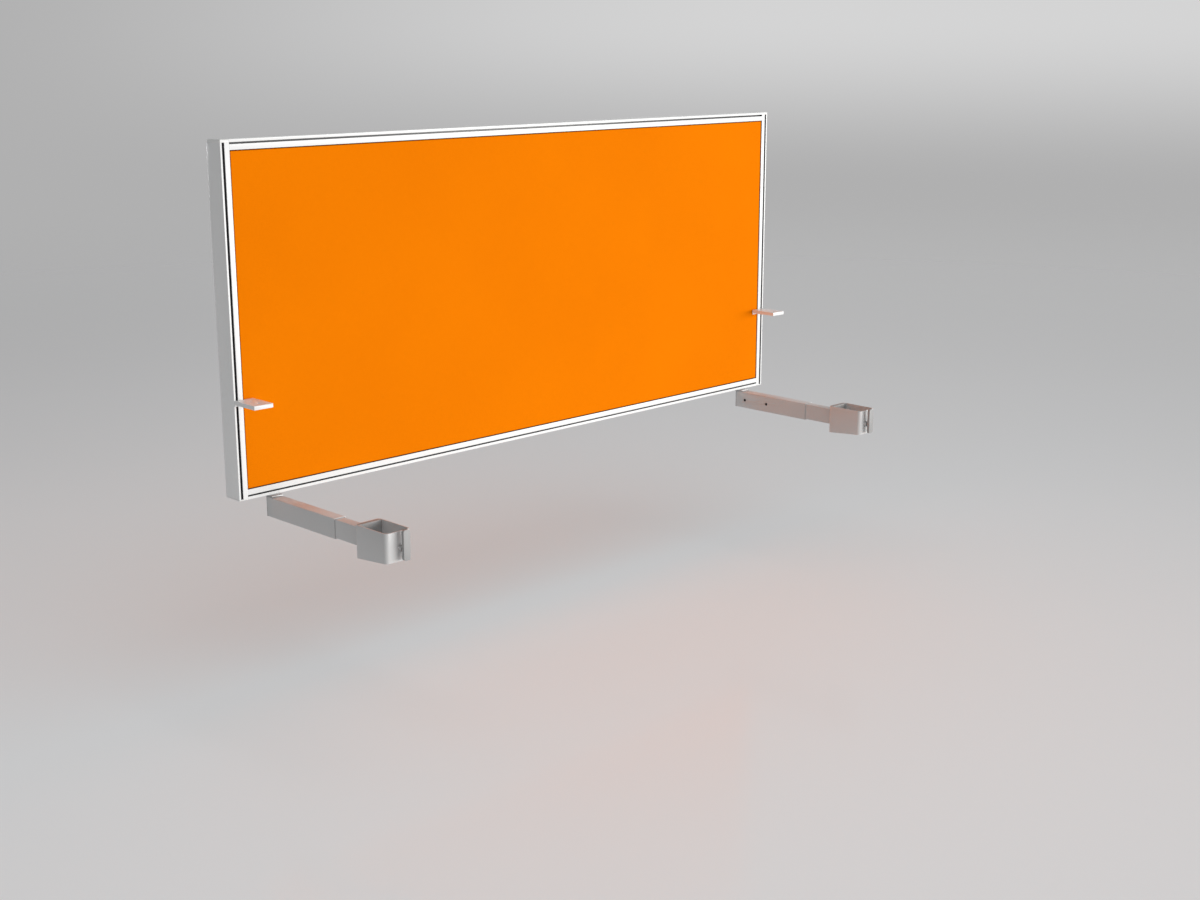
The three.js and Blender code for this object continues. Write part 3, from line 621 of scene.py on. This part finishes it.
def button_head_tree():
    """Button heads with hexagon sockets, one at each point, turned along the point's own direction."""
    tree = bpy.data.node_groups.new("button_heads", "GeometryNodeTree")
    tree.interface.new_socket("Seats", in_out="INPUT", socket_type="NodeSocketGeometry")
    for size in ("Head", "Rise", "Socket", "Shank", "Length"):
        tree.interface.new_socket(size, in_out="INPUT", socket_type="NodeSocketFloat")
    tree.interface.new_socket("Finish", in_out="INPUT", socket_type="NodeSocketMaterial")
    tree.interface.new_socket("Screws", in_out="OUTPUT", socket_type="NodeSocketGeometry")
    given = tree.nodes.new("NodeGroupInput")
    seats, head, rise, socket, shank, length, finish = [Value(out) for out in given.outputs[:7]]

    def cylinder(sides, diameter, depth, middle):
        size = {"Vertices": sides, "Radius": diameter * 0.5, "Depth": depth}
        bar = Value.node(tree, "GeometryNodeMeshCylinder", None, size)
        shift = Value.node(tree, "ShaderNodeCombineXYZ", None, {"Z": middle})
        return Value.node(tree, "GeometryNodeTransform", None, {"Geometry": bar, "Translation": shift})

    ball = Value.node(tree, "GeometryNodeMeshUVSphere", None,
                      {"Segments": HEAD_SIDES, "Rings": HEAD_RINGS, "Radius": head * 0.5})
    squash = Value.node(tree, "ShaderNodeCombineXYZ", None, {"X": 1.0, "Y": 1.0, "Z": rise * 2.0 / head})
    ball = Value.node(tree, "GeometryNodeTransform", None, {"Geometry": ball, "Scale": squash})
    dome = Value.node(tree, "GeometryNodeMeshBoolean", {"operation": "INTERSECT", "solver": "EXACT"},
                      {"Mesh 2": [ball, cylinder(HEAD_SIDES, head * 1.2, rise * 2.0, rise)]})
    hollow = cylinder(SOCKET_SIDES, socket, rise * 2.0, rise * SOCKET_PLACE)
    dome = Value.node(tree, "GeometryNodeMeshBoolean", {"operation": "DIFFERENCE", "solver": "EXACT"},
                      {"Mesh 1": dome, "Mesh 2": hollow})
    stem = cylinder(SHANK_SIDES, shank, length, length * -0.5)
    screw = Value.node(tree, "GeometryNodeJoinGeometry", None, {"Geometry": [dome, stem]})
    out = Value.node(tree, "GeometryNodeInputNamedAttribute", {"data_type": "FLOAT_VECTOR"},
                     {"Name": "out"})
    turn = Value.node(tree, "FunctionNodeAlignRotationToVector", {"axis": "Z"}, {"Vector": out})
    placed = Value.node(tree, "GeometryNodeInstanceOnPoints", None,
                        {"Points": seats, "Instance": screw, "Rotation": turn})
    solid = Value.node(tree, "GeometryNodeRealizeInstances", None, {"Geometry": placed})
    solid = Value.node(tree, "GeometryNodeSetMaterial", None, {"Geometry": solid, "Material": finish})
    tree.links.new(solid.socket, tree.nodes.new("NodeGroupOutput").inputs[0])
    return tree


def drive_screws(piece, body, finish, nodes, out, sizes):
    """Button-head screws in place of the plain ones of one body, each facing its own way out."""
    head, rise, socket, shank = sizes
    seats = []
    for node, facing in zip(nodes, out):
        low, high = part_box(node)
        facing = Vector(facing)
        reach = abs(facing.dot(high - low))
        seats.append((low + high) / 2 + facing * (reach / 2 - rise))
        length = reach - rise
    mesh = bpy.data.meshes.new(piece)
    mesh.from_pydata(seats, [], [])
    directions = mesh.attributes.new("out", "FLOAT_VECTOR", "POINT")
    for row, facing in zip(directions.data, out):
        row.vector = facing
    screws = bpy.data.objects.new(piece, mesh)
    scene.collection.objects.link(screws)
    modifier = screws.modifiers.new("screws", "NODES")
    modifier.node_group = button_heads
    wanted = {"Head": head, "Rise": rise, "Socket": socket, "Shank": shank, "Length": length,
              "Finish": finish}
    for item in button_heads.interface.items_tree:
        if item.name in wanted:
            modifier[item.identifier] = wanted[item.name]
    made = bpy.data.meshes.new_from_object(screws.evaluated_get(bpy.context.evaluated_depsgraph_get()))
    screws.modifiers.clear()
    screws.data = made
    made.polygons.foreach_set("use_smooth", [True] * len(made.polygons))
    made.set_sharp_from_angle(angle=SCREW_CORNER)
    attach(screws, body)
    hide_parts(*nodes)


button_heads = button_head_tree()
zinc = plated("zinc_plate", ZINC, ZINC_SHADE, ZINC_ROUGHNESS)
black_oxide = plated("black_oxide", OXIDE, OXIDE_SHADE, OXIDE_ROUGHNESS)
for side in ("left", "right"):
    dress(f"{side}_desk_bracket", white_coat, BRACKET_EDGE, segments=3)
    dress(f"{side}_slot_nut", zinc, NUT_EDGE)
    drive_screws(f"{side}_bracket_screw", f"{side}_bracket", zinc, [f"{side}_bracket_bolt"],
                 [(0.0, -1.0, 0.0)], BOLT)

# ------------------------------------------------------------------ telescopic arms
# Light grey powder coated steel tube, one inside the other. A cast saddle plugs the outer tube's
# rear end and is screwed up into the lower rail, and a slot in the inner tube takes the lock screw.

# GREY and GREY_SHADE are the arms' light grey paint, set a little darker as painted shade from the desk top
# above the arms and collars.
GREY = (0.64, 0.64, 0.637)
GREY_SHADE = (0.59, 0.59, 0.587)
GREY_ROUGHNESS = 0.40
LEVER_GREY = (0.36, 0.36, 0.358)
LEVER_SHADE = (0.31, 0.31, 0.308)
LEVER_ROUGHNESS = 0.5
LEVER_GRAIN = (1300.0, 0.03 * MM)
ARM_SCREW = (7.6 * MM, 2.2 * MM, 2.9 * MM, 4.0 * MM)  # head, rise, socket and shank
DOWN = (0.0, 0.0, -1.0)
TO_MIDDLE = [(1.0, 0.0, 0.0), (-1.0, 0.0, 0.0)]

grey_coat = powder_coat("grey_powder_coat", GREY, GREY_SHADE, GREY_ROUGHNESS)
saddle_nodes = [f"{side}_saddle_screw_{number}" for side in ("left", "right") for number in (1, 2)]
drive_screws("saddle_screws", "panel", zinc, saddle_nodes, [DOWN] * len(saddle_nodes), BOLT)
for piece, node in (("arm_screws", "tongue_screw"), ("arm_lock_screws", "lock_screw")):
    drive_screws(piece, "panel", black_oxide, [f"left_{node}", f"right_{node}"],
                 TO_MIDDLE, ARM_SCREW)

WELD = 2.4 * MM
NUT_WELD = 1.3 * MM
WELD_STEP = 0.5 * MM
WELD_RIPPLE = 1.7 * MM
WELD_SWELL = 0.07  # shares of the bead's radius
WELD_DRIFT = 0.05
WELD_ROOT = 0.3
WELD_DRIFT_LENGTH = 6.1 * MM
WELD_LAP = 0.12  # radians past either wall
WELD_SECTION = 6
CORNER_STEPS = 4
TUBE_SEAM_CORNER = 2.0 * MM
NUT_SEAM_CORNER = 5.5 * MM
TUBE_EDGE = 0.35 * MM
COLLAR_EDGE = 0.7 * MM
SADDLE_EDGE = 0.8 * MM
STUD_EDGE = 0.5 * MM
PAD_EDGE = 0.4 * MM
PACKER_EDGE = 0.5 * MM
LEVER_EDGE = 1.2 * MM
TO_REAR = Vector((0.0, 1.0, 0.0))


def weld_bead(piece, body, outline, radius, facing):
    """A fillet bead along a closed outline of (point, outward direction), against the wall it meets."""
    seam = []
    for i, (start, start_out) in enumerate(outline):
        end, end_out = outline[(i + 1) % len(outline)]
        steps = max(1, round((end - start).length / WELD_STEP))
        seam += [(start.lerp(end, j / steps), start_out.lerp(end_out, j / steps).normalized())
                 for j in range(steps)]
    shape = bmesh.new()
    rings = []
    run = 0.0
    for i, (point, outward) in enumerate(seam):
        run += (point - seam[i - 1][0]).length if i else 0.0
        swell = 1.0 + WELD_SWELL * abs(math.sin(math.pi * run / WELD_RIPPLE))
        swell += WELD_DRIFT * math.sin(run / WELD_DRIFT_LENGTH)
        root = WELD_ROOT * radius
        ring = [shape.verts.new(point - outward * root - facing * root)]
        for k in range(WELD_SECTION + 1):
            angle = -WELD_LAP + (math.pi / 2 + 2 * WELD_LAP) * k / WELD_SECTION
            reach = outward * math.cos(angle) + facing * math.sin(angle)
            ring.append(shape.verts.new(point + reach * (radius * swell)))
        rings.append(ring)
    for i, ring in enumerate(rings):
        following = rings[(i + 1) % len(rings)]
        for k in range(len(ring)):
            k_next = (k + 1) % len(ring)
            shape.faces.new([ring[k], ring[k_next], following[k_next], following[k]])
    bmesh.ops.recalc_face_normals(shape, faces=shape.faces)
    for face in shape.faces:
        face.smooth = True
    mesh = bpy.data.meshes.new(piece)
    shape.to_mesh(mesh)
    shape.free()
    bead = bpy.data.objects.new(piece, mesh)
    scene.collection.objects.link(bead)
    mesh.materials.append(grey_coat)
    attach(bead, body)


def rounded_seam(low, high, y, corner):
    """The seam round a tube whose end stands on a wall across Y."""
    seam = []
    centres = ((high.x - corner, high.z - corner), (low.x + corner, high.z - corner),
               (low.x + corner, low.z + corner), (high.x - corner, low.z + corner))
    for turn, (cx, cz) in enumerate(centres):
        for step in range(CORNER_STEPS + 1):
            angle = (turn + step / CORNER_STEPS) * math.pi / 2
            outward = Vector((math.cos(angle), 0.0, math.sin(angle)))
            seam.append((Vector((cx, y, cz)) + outward * corner, outward))
    return seam


grey_plastic = moulded("grey_plastic", LEVER_GREY, LEVER_SHADE, LEVER_ROUGHNESS, *LEVER_GRAIN)
for side in ("left", "right"):
    tube_low, tube_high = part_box(f"{side}_inner_tube")
    tube_seam = rounded_seam(tube_low, tube_high, tube_low.y, TUBE_SEAM_CORNER)
    weld_bead(f"{side}_arm_weld", f"{side}_arm", tube_seam, WELD, TO_REAR)
    nut_low, nut_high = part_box(f"{side}_weld_nut")
    nut_seam = rounded_seam(nut_low, nut_high, nut_high.y, NUT_SEAM_CORNER)
    weld_bead(f"{side}_nut_weld", f"{side}_arm", nut_seam, NUT_WELD, -TO_REAR)
    for name in ("outer_tube", "inner_tube", "weld_nut"):
        dress(f"{side}_{name}", grey_coat, TUBE_EDGE)
    dress(f"{side}_leg_collar", grey_coat, COLLAR_EDGE, segments=3)
    dress(f"{side}_saddle_bracket", cast_alloy, SADDLE_EDGE, segments=3)
    for name in ("clamp_stud", "lock_nut"):
        dress(f"{side}_{name}", zinc, STUD_EDGE)
    for name in ("glide_plug", "pressure_pad"):
        dress(f"{side}_{name}", black_nylon, PAD_EDGE)
    dress(f"{side}_rear_packer", grey_plastic, PACKER_EDGE)
    dress(f"{side}_clamp_lever", grey_plastic, LEVER_EDGE, segments=3)
